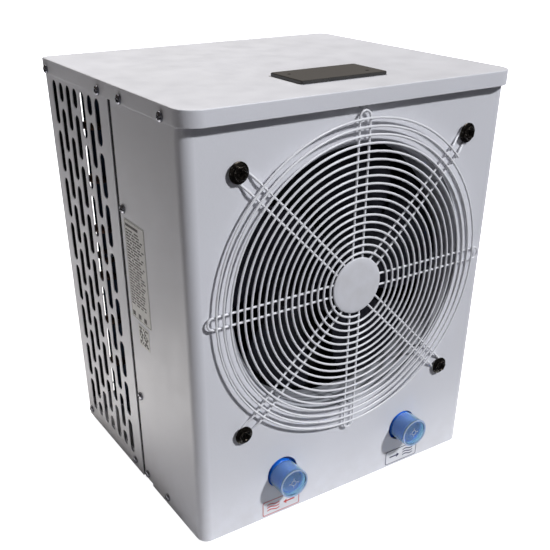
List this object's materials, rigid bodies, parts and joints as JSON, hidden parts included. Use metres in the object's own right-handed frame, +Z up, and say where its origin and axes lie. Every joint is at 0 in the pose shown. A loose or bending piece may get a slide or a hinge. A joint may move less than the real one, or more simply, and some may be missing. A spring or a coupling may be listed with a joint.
{
  "type": "pool heat pump",
  "caption": "Small pool heat pump in a folded white cabinet: front fan behind a spiral wire guard, two capped water ports, slotted side panel, lid controller.",
  "frame": {"origin": "on the ground, under the middle of the whole unit's outline (lid, port caps and cable gland included)", "axes": "+Z up, -Y out of the front with the fan, -X out of the side with the slots"},
  "size_m": [0.3966, 0.3728, 0.4855],
  "materials": {
    "white_paint": "light grey-white powder coat, fine orange peel",
    "guard_wire": "white plastic-coated steel wire, satin",
    "galvanised": "galvanised sheet, light spangle",
    "zinc_steel": "bright zinc plate",
    "dark_zinc": "black zinc plate with a bronze tint",
    "aluminium": "drawn aluminium can",
    "copper": "copper tube, slightly tarnished",
    "blue_fin": "blue hydrophilic-coated fin stock",
    "black_paint": "black enamel, satin",
    "black_plastic": "moulded black plastic, fine grain",
    "grey_plastic": "moulded dark grey plastic",
    "white_plastic": "white extruded plastic pipe",
    "rubber": "moulded black rubber, matt",
    "port_blue": "deep blue moulded plastic",
    "circuit_board": "green solder mask",
    "smoked_plastic": "black glossy smoked plate",
    "label": "printed sticker, satin",
    "cap_plastic": "frosted translucent soft plastic, pale blue"
  },
  "bodies": {
    "cabinet": {"base_pan": "white_paint", "foot_front_left": "rubber", "foot_front_right": "rubber", "foot_rear_left": "rubber", "foot_rear_right": "rubber", "front_panel": "white_paint", "left_side_panel": "white_paint", "right_side_panel": "white_paint", "top_lid": "white_paint", "rear_guard": "guard_wire", "fan_grille": "guard_wire", "grille_bolt_top_left": "dark_zinc", "grille_bolt_top_right": "dark_zinc", "grille_bolt_bottom_left": "dark_zinc", "grille_bolt_bottom_right": "dark_zinc", "fan_orifice_ring": "galvanised", "fan_motor": "galvanised", "motor_bracket": "galvanised", "evaporator_fins": "blue_fin", "coil_end_left": "copper", "coil_end_right": "copper", "compressor": "black_paint", "compressor_grommet_1": "rubber", "compressor_grommet_2": "rubber", "compressor_grommet_3": "rubber", "terminal_cover": "black_plastic", "suction_accumulator": "black_paint", "discharge_pipe": "copper", "suction_pipe": "copper", "filter_drier": "copper", "liquid_pipe": "copper", "heat_exchanger": "grey_plastic", "outlet_port": "port_blue", "inlet_port": "port_blue", "inlet_water_pipe": "white_plastic", "outlet_water_pipe": "white_plastic", "flow_switch_body": "black_plastic", "electric_box": "galvanised", "electric_box_cover": "galvanised", "control_board": "circuit_board", "run_capacitor": "aluminium", "cable_gland": "black_plastic", "gland_nut": "black_plastic", "power_cord": "black_plastic", "controller_cable": "black_plastic", "controller_fascia": "smoked_plastic", "display_module": "black_plastic", "fascia_screw_left": "dark_zinc", "fascia_screw_right": "dark_zinc", "seam_screw_upper": "zinc_steel", "seam_screw_lower": "zinc_steel", "rating_label": "label", "outlet_label": "label", "inlet_label": "label"},
    "fan": {"fan_impeller": "black_plastic", "motor_shaft": "zinc_steel", "fan_nut": "zinc_steel"},
    "outlet_cap": {"outlet_cap": "cap_plastic"},
    "inlet_cap": {"inlet_cap": "cap_plastic"},
    "flow_paddle": {"flow_paddle": "zinc_steel"}
  },
  "joints": [
    {"name": "fan_spin", "type": "hinge", "parent": "cabinet", "child": "fan", "pos_m": [0, -0.16165, 0.28], "axis": [0, 1, 0], "continuous": true},
    {"name": "outlet_cap_pull", "type": "slide", "parent": "cabinet", "child": "outlet_cap", "axis": [0, -1, 0], "range_m": [0, 0.03]},
    {"name": "inlet_cap_pull", "type": "slide", "parent": "cabinet", "child": "inlet_cap", "axis": [0, -1, 0], "range_m": [0, 0.03]},
    {"name": "flow_paddle_swing", "type": "hinge", "parent": "cabinet", "child": "flow_paddle", "pos_m": [0.0912, -0.10965, 0.0911], "axis": [1, 0, 0], "range_deg": [0, 20]}
  ]
}
